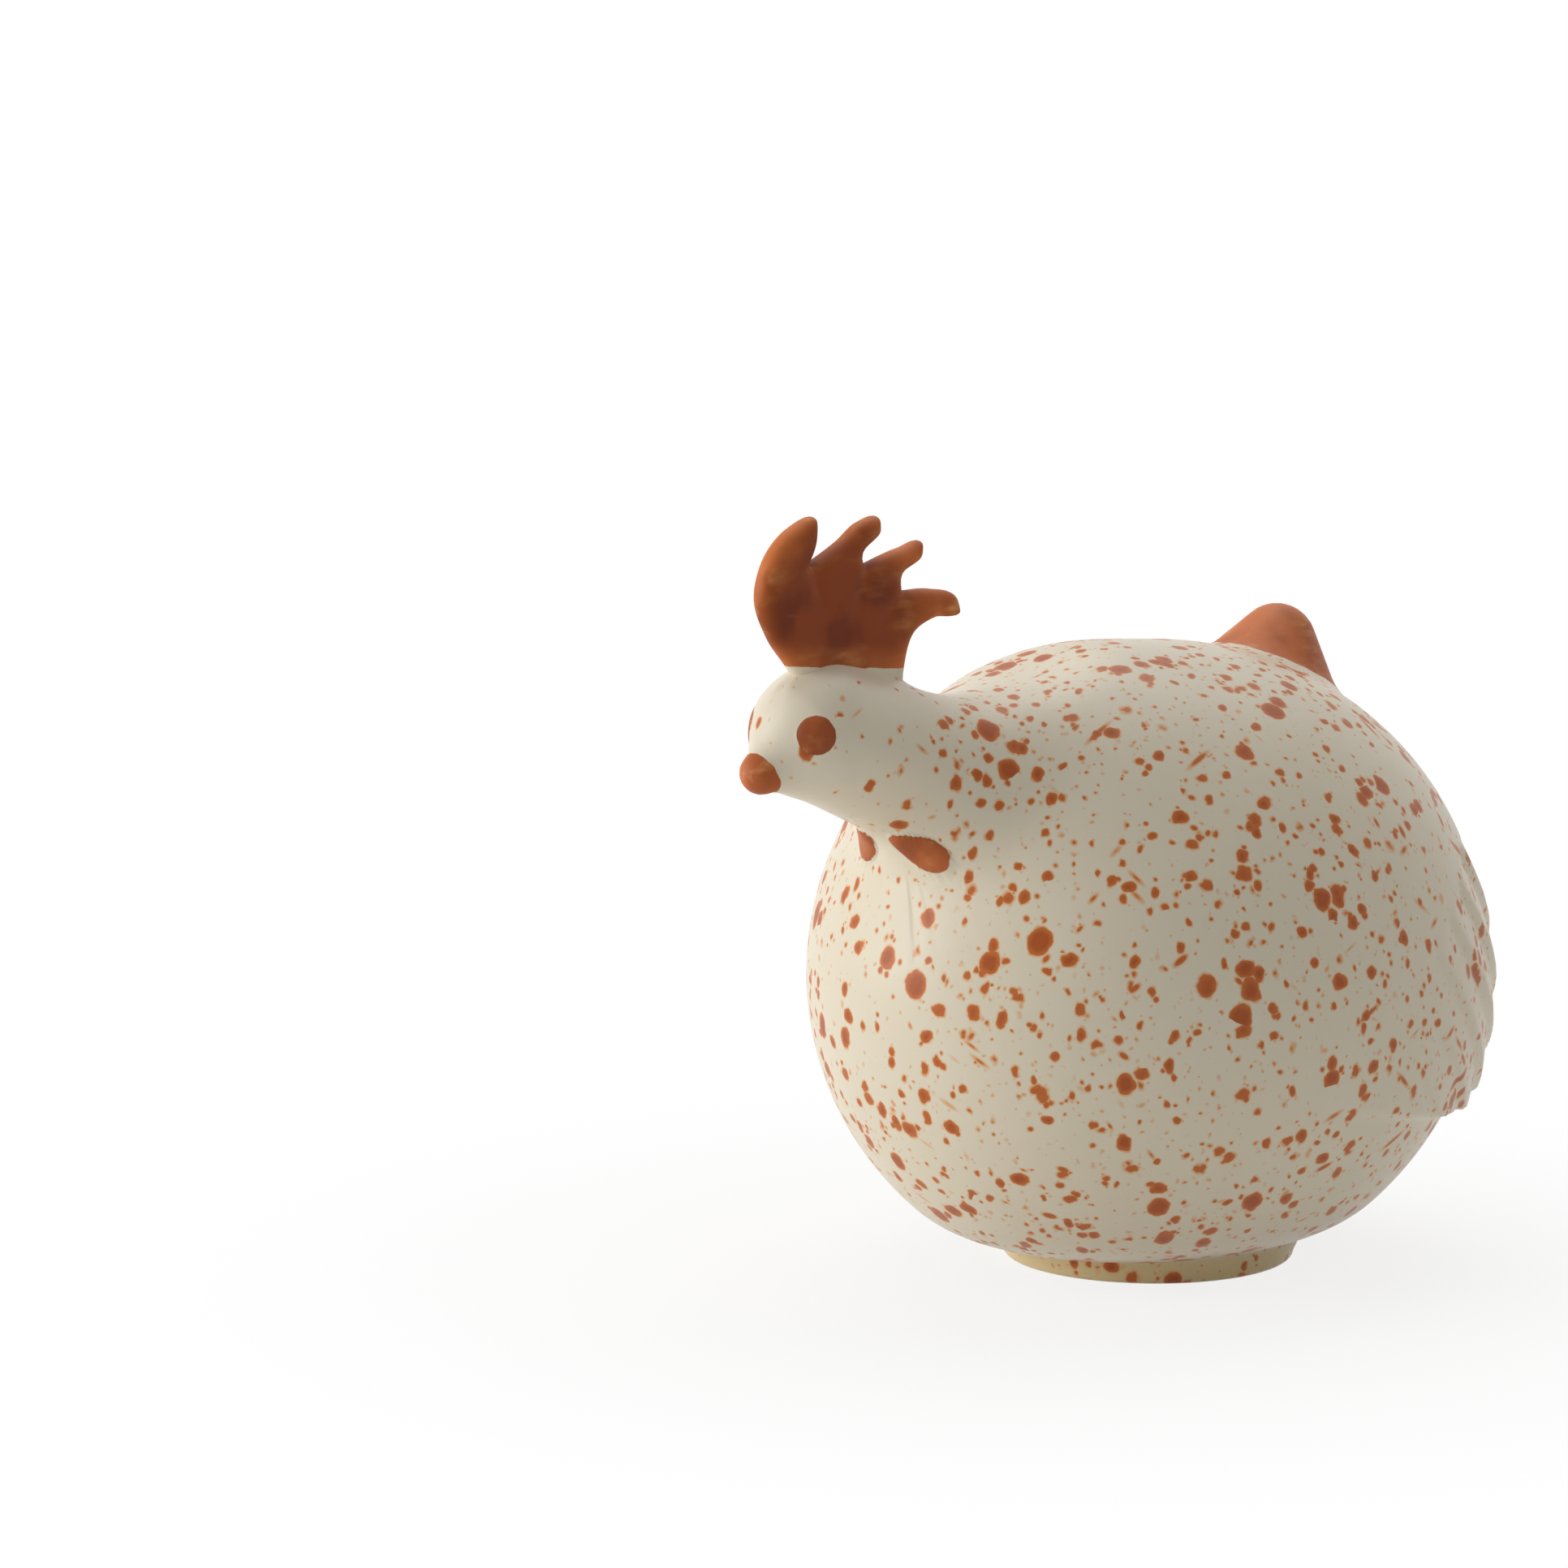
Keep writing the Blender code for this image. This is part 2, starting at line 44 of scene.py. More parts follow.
# Body, neck, head and beak
BODY_CENTRE = np.array([0.0, 18.8, 64.6]) * MM
BODY_HALF = np.array([68.1, 79.2, 71.0]) * MM
SHOULDER_CENTRE = np.array([0.0, -5.8, 94.6]) * MM
SHOULDER_RADIUS = 39.6 * MM
SHOULDER_BLEND = 12 * MM
HEAD_CENTRE = np.array([0.0, -76.7, 124.1]) * MM
HEAD_RADIUS = 14.25 * MM
NECK_SLOPE = math.radians(20.7)
NECK_LENGTH = 75 * MM
NECK_RADIUS = 19.4 * MM
NECK_BLEND = 14 * MM
NAPE_CENTRE = np.array([0.0, -25.9, 155.6]) * MM
NAPE_RADIUS = 21.5 * MM
BEAK_SLOPE = math.radians(23.2)
BEAK_LENGTH = 22.1 * MM
BEAK_START = 6 * MM
BEAK_START_RADIUS = 11.7 * MM
BEAK_TIP_RADIUS = 4.5 * MM
BEAK_BLEND = 3 * MM
BEAK_PAINT_AT = 17.3 * MM
BEAK_PAINT_SLOPE = math.radians(28.5)
BEAK_PAINT_CURVE = 12.0
UNDERSIDE_HEIGHT = 3.8 * MM
UNDERSIDE_BLEND = 10 * MM

# Eyes and wattles
EYE_RADIUS = 4.1 * MM
EYE_RISE = 0.4 * MM
EYE_TURN = math.radians(45.0)
EYE_LIFT = math.radians(5.0)
WATTLE_HALF_LENGTH = 7.3 * MM
WATTLE_HALF_WIDTH = 3.7 * MM
WATTLE_RISE = 1.3 * MM
WATTLE_BACK = 28.2 * MM
WATTLE_TURN = math.radians(26.0)
WATTLE_SPLAY = math.radians(33.0)
WATTLE_TAPER = 0.12
WATTLE_TAPER_LIMITS = (0.3, 2.0)
WATTLE_EDGE = 3 * MM

# Comb
COMB_LENGTH = 56.8 * MM
COMB_HEIGHT = 32.8 * MM
COMB_FRONT = -94.0 * MM
COMB_BASE = 136.35 * MM
COMB_HALF_THICKNESS = 3.1 * MM
COMB_EDGE = 3.4 * MM
COMB_CELL = 0.22 * MM
COMB_RIM = 0.2 * COMB_CELL
COMB_GROOVE_WIDTH = 1.6 * MM
COMB_PAINT_HEIGHT = 139.3 * MM
COMB_PAINT_FALL = 0.09
COMB_ROOT_CENTRE = np.array([0.0, -70.0, 133.0]) * MM
COMB_ROOT_HALF = np.array([3.0, 14.0, 5.0]) * MM
COMB_ROOT_BLEND = 4 * MM

# Tail
TAIL_TIP = np.array([0.0, 61.4, 140.4]) * MM
TAIL_LENGTH = 32 * MM
TAIL_TIP_RADIUS = 8.8 * MM
TAIL_FLANK = math.radians(35.0)
TAIL_LEAN = math.radians(21.0)
TAIL_BLEND = 3 * MM
TAIL_PAINT_RISE = 0.6 * MM

# Wings: feathers overlap downwards and their edges run back and down
WING_SHRINK = 1.4 * MM
WING_SHIFT = np.array([0.0, 5.3, -6.0]) * MM
WING_LENGTH = 110 * MM
WING_HEIGHT = 57 * MM
WING_REAR = 89.8 * MM
WING_TOP = 92 * MM
WING_EDGE = 2.0 * MM
WING_BLEND = 1.2 * MM
WING_INNER = 15 * MM
FEATHER_PITCH = 10 * MM
FEATHER_STEP = 1.3 * MM
FEATHER_SLOPE = math.radians(48.0)
FEATHER_FALL = 0.8
FEATHERS_SHOWN = (25 * MM, 70 * MM)

# Foot ring and drain hole
FOOT_CENTRE_Y = 19.8 * MM
FOOT_RADIUS = 32 * MM
FOOT_FLARE = 1.6 * MM
FOOT_RING = 6.5 * MM
FOOT_EDGE = 1.6 * MM
FOOT_SIDES = 240
CREASE_HEIGHT = 1.35 * UNDERSIDE_HEIGHT
CREASE_ROUND = 1.2 * MM
CREASE_LIFT = 0.2 * MM
CREASE_TUCK = 1 * MM
RECESS_COVER = 0.15 * MM
RECESS_ROUND = 1 * MM
DRAIN_RADIUS = 10 * MM
DRAIN_MARGIN = 0.3 * MM
DRAIN_FLANGE = 6 * MM
WALL = 4.5 * MM

# The camera stands in front of the bird's left side, and sees the foot right of and below the frame's middle
IMAGE_SIZE = 1932
PIXEL_AT_FOOT = 0.18 * MM
CAMERA_DISTANCE = 1200 * MM
CAMERA_HEIGHT = 277 * MM
CAMERA_AZIMUTH = math.radians(45.0)
FOOT_PIXEL = (1414.0, 1542.0)
AIM_STEPS = 40
SENSOR_WIDTH = 36.0

# Light, in metres, watts and shares of white; the two area lights turn to the aim
WINDOW_PLACE = (-0.9, -1.32, 0.42)
WINDOW_WIDTH = 1.1
WINDOW_POWER = 17.5
CEILING_PLACE = (-0.4, 0.4, 1.6)
CEILING_WIDTH = 1.4
CEILING_POWER = 11.5
LIGHTS_AIM = (0.0, 0.0, 0.08)
ROOM_LIGHT = 0.29

# White paper, in metres: its half width, and where its trace of shadow fades to plain white
PAPER = "#F6F6F4"
FLOOR_HALF = 6.0
FLOOR_FADE = (0.06, 0.22)
FLOOR_WHITE = 0.82

# Comb outline as shares of its length back from the front and of its height over the head
COMB_OUTLINE = (
    (0.170, 0.000, "smooth"), (0.060, 0.240, "smooth"), (0.000, 0.490, "smooth"), (0.050, 0.770, "smooth"),
    (0.165, 0.940, "smooth"), (0.265, 0.985, "smooth"), (0.270, 0.850, "smooth"), (0.235, 0.690, "sharp"),
    (0.395, 0.830, "smooth"), (0.490, 0.935, "smooth"), (0.572, 0.955, "smooth"), (0.580, 0.870, "smooth"),
    (0.490, 0.710, "smooth"), (0.500, 0.660, "sharp"), (0.690, 0.750, "smooth"), (0.785, 0.775, "smooth"),
    (0.785, 0.690, "smooth"), (0.680, 0.555, "smooth"), (0.685, 0.475, "sharp"), (0.830, 0.470, "smooth"),
    (0.960, 0.400, "smooth"), (0.975, 0.300, "smooth"), (0.850, 0.280, "smooth"), (0.740, 0.190, "smooth"),
    (0.695, -0.010, "smooth"), (0.690, -0.260, "sharp"), (0.220, -0.200, "sharp"),
)

# Grooves that run down the comb from between its fingers, as shares: start, end, depth in mm
COMB_GROOVES = (
    ((0.235, 0.690), (0.300, 0.330), 1.0),
    ((0.500, 0.660), (0.420, 0.330), 1.0),
    ((0.685, 0.475), (0.520, 0.260), 0.9),
)

# Wing outline as shares of its length forward from the rear and of its height below the top
WING_OUTLINE = (
    (1.000, 0.55, "smooth"), (0.800, 0.25, "smooth"), (0.500, 0.05, "smooth"), (0.250, 0.00, "smooth"),
    (0.100, 0.05, "smooth"), (0.045, 0.17, "smooth"), (0.085, 0.25, "sharp"), (0.005, 0.38, "smooth"),
    (0.055, 0.47, "sharp"), (0.000, 0.60, "smooth"), (0.070, 0.68, "sharp"), (0.045, 0.82, "smooth"),
    (0.125, 0.87, "sharp"), (0.150, 0.98, "smooth"), (0.270, 1.00, "smooth"), (0.550, 0.93, "smooth"),
    (0.800, 0.80, "smooth"),
)

# Steps along each span of an outline, and how many points are measured against it at once
OUTLINE_STEPS = 8
POINTS_AT_ONCE = 4000

# Rays that find the skin: their rings about rump, body, neck and beak, and the spine that they start from
SIDES = 400
RINGS = (96, 80, 38, 30)
HOLLOW_SIDES = 96
HOLLOW_RINGS = (16, 18, 8, 8)
THROAT_SHARE = 0.70
SPINE_STRAIGHTNESS = 0.35
BEAK_CROWDING = 1.2
RAY_STEPS = 90
NORMAL_NUDGE = 0.02 * MM
NO_TRIANGLES = np.zeros((0, 3), int)

# Stain colours from deep to thin: laid on evenly, where the brush left less, and where it pooled
STAIN_BODY = ("#86370F", "#D0743A")
STAIN_LIGHT = ("#A5561F", "#F0AE6A")
STAIN_DARK = ("#6A270D", "#B05820")

# How thin the stain is, from 0 for deep to 1 for thin, on each painted patch and a margin around it
BEAK_AMBER = 1.0
TAIL_AMBER = 0.85
WATTLE_AMBER = 0.65
EYE_AMBER = 0.55
AMBER_MARGIN = 1 * MM

# The same on the comb: everywhere, and what its rim, its root and its tips, far from its heart, add to that
COMB_AMBER = 0.12
COMB_RIM_AMBER = 0.2
COMB_RIM_WIDTH = 1.6 * MM
COMB_ROOT_AMBER = 0.5
COMB_ROOT_FADE = 6 * MM
COMB_TIP_AMBER = 1.1
COMB_TIPS = (15 * MM, 27 * MM)
COMB_HEART = np.array([-74.0, 147.0]) * MM

# How deep the unpainted foot lies inside the paint, in mm
UNPAINTED = -5.0

# Glaze colours: cream in two tints, cream thinned at the foot, a drop's halo, a drop thin and deep, bare clay
CREAM = ("#E1D5BC", "#E8DEC8")
FOOT_CREAM = "#E6D2A2"
HALO = "#E2A872"
DROP = ("#C4692A", "#AC5115")
CLAY = ("#BBA77F", "#D2C19C")

# Splatter layers, in mm: cell, largest drop radius, how much of the cells stay empty, turn and stretch
SPLATTER = (
    (8.2, 3.0, 1.5, (0.3, 0.2, 0.5), (1.0, 1.0, 1.25)),
    (6.4, 2.2, 0.7, (0.9, 1.4, 0.2), (1.0, 1.2, 1.0)),
    (4.9, 1.65, 0.4, (0.3, 0.1, 0.4), (0.85, 1.0, 1.35)),
    (4.3, 1.25, 0.5, (0.5, 2.3, 1.7), (1.0, 1.0, 1.0)),
    (3.4, 0.85, 0.5, (0.4, 0.2, 0.1), (0.9, 0.9, 1.3)),
    (2.6, 0.5, 0.35, (2.4, 1.1, 0.6), (1.0, 1.0, 1.0)),
    (2.2, 0.3, 0.35, (0.2, 1.9, 2.2), (1.0, 1.0, 1.0)),
)

# Flicked streaks, in the same terms: five or six times as long as they are wide
STREAKS = (
    (4.6, 0.85, 0.7, (0.52, 0.0, 0.0), (1.0, 6.0, 1.0)),
    (4.6, 0.85, 0.7, (-0.70, 0.2, 0.0), (1.0, 5.0, 1.0)),
    (4.6, 0.85, 0.9, (0.0, 0.6, 0.3), (5.0, 1.0, 1.0)),
)

# How much smaller drops get where they are sparse, as a share, and how much shallower on the face, in mm
SPLATTER_THINNING = 0.10
FACE_THINNING = 0.5

# Where along Y that starts and ends, and the heights between which the glaze thins to the foot's cream
FACE_RANGE = (-45 * MM, -85 * MM)
FOOT_RANGE = (7 * MM, 4 * MM)

# Depths inside a drop, in mm, over which its halo comes up, its colour deepens and it covers the cream
DROP_RANGES = ((-0.45, 0.05), (0.1, 1.2), (-0.06, 0.12))

# Noises, in cells for each metre, and how far the first one shifts the rims of the drops
WOBBLE_SCALE = 420.0
WOBBLE = 1.4 * MM
CROWD_SCALE = 38.0
BRUSH_SCALE = 260.0
BLOT_SCALE = 90.0
TINT_SCALE = 28.0
PAINT_EDGE_SCALE = 300.0
RIPPLE_SCALE = 240.0
GRAIN_SCALE = 500.0

# Settings of the nodes that turn a value into a share from 0 to 1, and that mix two colours by a share
SMOOTH = {"interpolation_type": "SMOOTHSTEP"}
COLOURS = {"data_type": "RGBA"}

# Sockets of a colour mix, whose names repeat on the node: its share, its two colours and the mixed one
BY, FROM, TO = 0, 6, 7
MIXED = 2

NECK_AXIS = np.array([0.0, -math.cos(NECK_SLOPE), math.sin(NECK_SLOPE)])
BEAK_AXIS = np.array([0.0, -math.cos(BEAK_SLOPE), -math.sin(BEAK_SLOPE)])
TAIL_AXIS = np.array([0.0, math.sin(TAIL_LEAN), math.cos(TAIL_LEAN)])


def smooth_union(first, second, width):
    """The lesser of two gaps, rounded where they are within width of each other."""
    near = np.maximum(width - np.abs(first - second), 0.0) / width
    return np.minimum(first, second) - near * near * width / 4


def smooth_step(value, low, high):
    """0 below low, 1 above high, and 3s^2 - 2s^3 of the share s between."""
    share = np.clip((value - low) / (high - low), 0.0, 1.0)
    return share * share * (3.0 - 2.0 * share)


def ellipsoid_gap(points, centre, half):
    """How far points lie outside an ellipsoid, less than zero inside it."""
    scaled = (points - centre) / half
    size = np.maximum(np.linalg.norm(scaled, axis=-1), TINY)
    slope = np.maximum(np.linalg.norm(scaled / half, axis=-1), TINY / half.min())
    return size * (size - 1.0) / slope


def limb_gap(points, start, end, start_radius, end_radius):
    """How far points lie outside a round limb whose radius runs evenly from start to end."""
    along = end - start
    share = np.clip((points - start) @ along / (along @ along), 0.0, 1.0)[..., None]
    nearest = start + share * along
    radius = start_radius + (end_radius - start_radius) * share[..., 0]
    return np.linalg.norm(points - nearest, axis=-1) - radius


def body_gap(points):
    """Gap to the body: one ball fills out its shoulders, and one cut away dishes the nape behind the neck."""
    shoulders = np.linalg.norm(points - SHOULDER_CENTRE, axis=-1) - SHOULDER_RADIUS
    body = smooth_union(ellipsoid_gap(points, BODY_CENTRE, BODY_HALF), shoulders, SHOULDER_BLEND)
    nape = np.linalg.norm(points - NAPE_CENTRE, axis=-1) - NAPE_RADIUS
    return -smooth_union(-body, nape, NECK_BLEND)


def tail_gap(points):
    """Gap to the tail, a cone about its leaning axis with a ball for a tip, cut square inside the body."""
    offset = points - TAIL_TIP
    along = offset @ TAIL_AXIS
    aside = np.sqrt(np.maximum((offset ** 2).sum(axis=-1) - along ** 2, 0.0))
    down = -along - TAIL_TIP_RADIUS
    flank = aside * math.cos(TAIL_FLANK) - down * math.sin(TAIL_FLANK) - TAIL_TIP_RADIUS
    tip = np.hypot(aside, down) - TAIL_TIP_RADIUS
    past_tip = aside * math.sin(TAIL_FLANK) + down * math.cos(TAIL_FLANK) > 0.0
    return np.maximum(np.where(past_tip, flank, tip), -along - TAIL_LENGTH)


def skin_gap(points):
    """Gap to the whole skin: body, neck, head, beak, comb root and tail, blended over a flat underside."""
    neck_end = HEAD_CENTRE - NECK_LENGTH * NECK_AXIS
    beak_start = HEAD_CENTRE + BEAK_START * BEAK_AXIS
    beak_end = HEAD_CENTRE + (BEAK_LENGTH - BEAK_TIP_RADIUS) * BEAK_AXIS
    neck = limb_gap(points, HEAD_CENTRE, neck_end, HEAD_RADIUS, NECK_RADIUS)
    beak = limb_gap(points, beak_start, beak_end, BEAK_START_RADIUS, BEAK_TIP_RADIUS)
    root = ellipsoid_gap(points, COMB_ROOT_CENTRE, COMB_ROOT_HALF)
    gap = smooth_union(body_gap(points), neck, NECK_BLEND)
    gap = smooth_union(gap, beak, BEAK_BLEND)
    gap = smooth_union(gap, root, COMB_ROOT_BLEND)
    gap = smooth_union(gap, tail_gap(points), TAIL_BLEND)
    below = UNDERSIDE_HEIGHT - points[..., 2]
    return -smooth_union(-gap, -below, UNDERSIDE_BLEND)


def skin_points(starts, directions, inset=0.0):
    """Where rays meet the skin, or a surface inset within it: each steps on by the gap that is left."""
    reach = np.zeros(len(starts))
    for _ in range(RAY_STEPS):
        reach += np.maximum(-inset - skin_gap(starts + directions * reach[:, None]), 0.0)
    return starts + directions * reach[:, None]


def skin_normals(points):
    """Outward normals, from the slope of the gap along each axis."""
    nudge = np.eye(3) * NORMAL_NUDGE
    slope = np.stack([skin_gap(points + step) - skin_gap(points - step) for step in nudge], axis=-1)
    return slope / np.linalg.norm(slope, axis=-1, keepdims=True)


def outline_loop(outline, place):
    """A closed outline: Hermite curves through its points, straight into the sharp ones."""
    knots = np.array([place(a, b) for a, b, _ in outline])
    smooth = np.array([kind == "smooth" for _, _, kind in outline])[:, None]
    ahead = np.roll(knots, -1, axis=0)
    chord = ahead - knots
    span = np.linalg.norm(chord, axis=1, keepdims=True)
    before = np.roll(span, 1, axis=0)
    tangent = (chord / span * before + np.roll(chord, 1, axis=0) / before * span) / (span + before)
    leave = np.where(smooth, tangent * span, chord)
    arrive = np.where(np.roll(smooth, -1, axis=0), np.roll(tangent, -1, axis=0) * span, chord)
    share = (np.arange(OUTLINE_STEPS) / OUTLINE_STEPS)[None, :, None]
    square, cube = share ** 2, share ** 3
    curve = (
        (2 * cube - 3 * square + 1) * knots[:, None]
        + (cube - 2 * square + share) * leave[:, None]
        + (3 * square - 2 * cube) * ahead[:, None]
        + (cube - square) * arrive[:, None]
    )
    return curve.reshape(-1, 2)


def depth_inside(loop, points):
    """How deep flat points lie inside a closed loop, less than zero outside, and the loop's nearest point."""
    start = loop[None]
    along = np.roll(loop, -1, axis=0)[None] - start
    depth = np.empty(len(points))
    nearest = np.empty((len(points), 2))
    for part in np.array_split(np.arange(len(points)), max(1, len(points) // POINTS_AT_ONCE)):
        here = points[part][:, None]
        share = np.clip(((here - start) * along).sum(-1) / (along ** 2).sum(-1), 0.0, 1.0)
        foot = start + share[..., None] * along
        gap = np.linalg.norm(here - foot, axis=-1)
        best = gap.argmin(axis=1)
        rows = np.arange(len(part))
        above = start[..., 1] > here[..., 1]
        crosses = above != np.roll(above, -1, axis=1)
        climb = np.where(crosses, along[..., 1], 1.0)
        at = start[..., 0] + along[..., 0] * (here[..., 1] - start[..., 1]) / climb
        inside = (crosses & (at > here[..., 0])).sum(axis=1) % 2 == 1
        depth[part] = np.where(inside, 1.0, -1.0) * gap[rows, best]
        nearest[part] = foot[rows, best]
    return depth, nearest


def wing_rise(points):
    """How far the wings stand out: a smaller body, set back and down, inside the wing's scalloped outline."""
    rise = -ellipsoid_gap(points, BODY_CENTRE + WING_SHIFT, BODY_HALF - WING_SHRINK)
    rise = -smooth_union(-rise, np.zeros(len(points)), WING_BLEND)
    loop = outline_loop(WING_OUTLINE, lambda a, b: (WING_REAR - a * WING_LENGTH, WING_TOP - b * WING_HEIGHT))
    flank = (rise > 0.0) & (np.abs(points[:, 0]) > WING_INNER)
    depth = np.full(len(points), -1.0)
    depth[flank], _ = depth_inside(loop, points[flank][:, 1:])
    inside = smooth_step(depth, -WING_EDGE / 2, WING_EDGE / 2)
    across = points[:, 2] * math.cos(FEATHER_SLOPE) + points[:, 1] * math.sin(FEATHER_SLOPE)
    phase = across / FEATHER_PITCH % 1.0
    back_up = smooth_step(phase, FEATHER_FALL, 1.0)
    saw = np.where(phase < FEATHER_FALL, 1.0 - phase / FEATHER_FALL, back_up) - 0.5
    shown = smooth_step(points[:, 1], *FEATHERS_SHOWN)
    return inside * (rise + FEATHER_STEP * saw * shown)


def tangent_place(points, start, direction, lengthwise):
    """Flat coordinates of points about where a ray leaves the skin: along lengthwise, across it, and out."""
    origin = skin_points(start[None], direction[None])
    normal = skin_normals(origin)[0]
    along = lengthwise - (lengthwise @ normal) * normal
    along /= np.linalg.norm(along)
    offset = points - origin[0]
    return offset @ along, offset @ np.cross(normal, along), offset @ normal


def eye_inset(points, side):
    """How far inside one eye's disc points lie, in metres."""
    level = math.cos(EYE_LIFT)
    out = np.array([side * level * math.sin(EYE_TURN), -level * math.cos(EYE_TURN), math.sin(EYE_LIFT)])
    along, across, deep = tangent_place(points, HEAD_CENTRE, out, np.array([0.0, 0.0, 1.0]))
    return EYE_RADIUS - np.sqrt(along ** 2 + across ** 2 + deep ** 2)


def wattle_inset(points, side):
    """How far inside one wattle's teardrop points lie: an ellipse that narrows towards the beak."""
    start = HEAD_CENTRE - WATTLE_BACK * NECK_AXIS
    down = np.array([0.0, -math.sin(NECK_SLOPE), -math.cos(NECK_SLOPE)])
    outward = np.array([float(side), 0.0, 0.0])
    direction = math.cos(WATTLE_TURN) * down + math.sin(WATTLE_TURN) * outward
    lengthwise = math.sin(WATTLE_SPLAY) * outward - math.cos(WATTLE_SPLAY) * NECK_AXIS
    along, across, deep = tangent_place(points, start, direction, lengthwise)
    along = along / WATTLE_HALF_LENGTH
    across = across / (WATTLE_HALF_WIDTH * np.clip(1.0 + WATTLE_TAPER * along, *WATTLE_TAPER_LIMITS))
    size = np.sqrt(along ** 2 + across ** 2 + (deep / WATTLE_HALF_WIDTH) ** 2)
    return WATTLE_HALF_WIDTH * (1.0 - size)


def dome(inset, radius, rise):
    """A low dome over a painted patch: the square root of its inset share, rounded off at the rim."""
    share = np.clip(inset / radius, 0.0, 1.0)
    return rise * np.sqrt(1.0 - (1.0 - share) ** 2)


def skin_rays(sides, rings):
    """Rays in rings: cones about the rump, flat rings along body and neck, cones about the beak."""
    rear_rings, body_rings, neck_rings, front_rings = rings
    rise = HEAD_CENTRE - BODY_CENTRE
    centres, slopes, cones = [], [], []
    for cone in math.pi * (1.0 - 0.5 * np.arange(1, rear_rings) / rear_rings):
        centres.append(BODY_CENTRE)
        slopes.append(NECK_SLOPE)
        cones.append(cone)
    shares = THROAT_SHARE * np.sin(0.5 * math.pi * np.arange(body_rings + 1) / body_rings)
    neck_shares = THROAT_SHARE + (1.0 - THROAT_SHARE) * np.arange(1, neck_rings + 1) / neck_rings
    for share in np.append(shares, neck_shares):
        lift = SPINE_STRAIGHTNESS * share + (1.0 - SPINE_STRAIGHTNESS) * share ** 2
        centres.append(BODY_CENTRE + np.array([0.0, rise[1] * share, rise[2] * lift]))
        turn = max(0.0, (share - THROAT_SHARE) / (1.0 - THROAT_SHARE))
        slopes.append(NECK_SLOPE - (NECK_SLOPE + BEAK_SLOPE) * turn)
        cones.append(math.pi / 2)
    for cone in 0.5 * math.pi * (1.0 - np.arange(1, front_rings) / front_rings) ** BEAK_CROWDING:
        centres.append(HEAD_CENTRE)
        slopes.append(-BEAK_SLOPE)
        cones.append(cone)
    centres = np.array(centres)[:, None]
    slopes = np.array(slopes)[:, None, None]
    cones = np.array(cones)[:, None, None]
    around = (np.arange(sides) * 2 * math.pi / sides)[None, :, None]
    axis = np.concatenate([0 * slopes, -np.cos(slopes), np.sin(slopes)], axis=2)
    up = np.concatenate([0 * slopes, np.sin(slopes), np.cos(slopes)], axis=2)
    across = np.array([1.0, 0.0, 0.0])
    rays = np.cos(cones) * axis + np.sin(cones) * (np.cos(around) * up + np.sin(around) * across)
    starts = np.broadcast_to(centres, rays.shape)
    return starts.reshape(-1, 3), rays.reshape(-1, 3)


def ring_faces(rings, sides):
    """Quads between neighbouring rings, which close on themselves."""
    ring = np.arange(rings - 1)[:, None] * sides
    here = np.arange(sides)[None]
    ahead = (here + 1) % sides
    corners = [ring + here, ring + ahead, ring + sides + ahead, ring + sides + here]
    return np.stack(corners, axis=-1).reshape(-1, 4)


def add_piece(name, points, quads, triangles, material, attributes=()):
    """A smooth-shaded mesh object from whole arrays, with a value for each point where a name is given."""
    mesh = bpy.data.meshes.new(name)
    mesh.from_pydata(points, [], np.asarray(quads).tolist() + np.asarray(triangles).tolist())
    for label, values in attributes:
        mesh.attributes.new(label, "FLOAT", "POINT").data.foreach_set("value", values.astype(np.float32))
    mesh.shade_smooth()
    mesh.materials.append(material)
    mesh.update()
    piece = bpy.data.objects.new(name, mesh)
    bpy.context.scene.collection.objects.link(piece)
    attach(piece, "root")
    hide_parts("rooster")


def skin_grid(sides, rings, inset=0.0):
    """Points of the skin in rings with a pole at each end, and the faces between them, open at the drain."""
    starts, rays = skin_rays(sides, rings)
    poles = skin_points(np.array([BODY_CENTRE, HEAD_CENTRE]), np.array([-NECK_AXIS, BEAK_AXIS]), inset)
    points = np.concatenate([skin_points(starts, rays, inset), poles])
    count = len(starts) // sides
    quads = ring_faces(count, sides)
    here = np.arange(sides)
    ahead = (here + 1) % sides
    last = (count - 1) * sides
    rear = np.full(sides, count * sides)
    caps = np.concatenate([
        np.stack([rear, ahead, here], axis=-1),
        np.stack([rear + 1, last + here, last + ahead], axis=-1),
    ])
    over_drain = np.hypot(points[:, 0], points[:, 1] - FOOT_CENTRE_Y) < DRAIN_RADIUS + DRAIN_MARGIN
    over_drain &= points[:, 2] < BODY_CENTRE[2]
    quads = quads[~over_drain[quads].any(axis=1)]
    return points, quads, caps


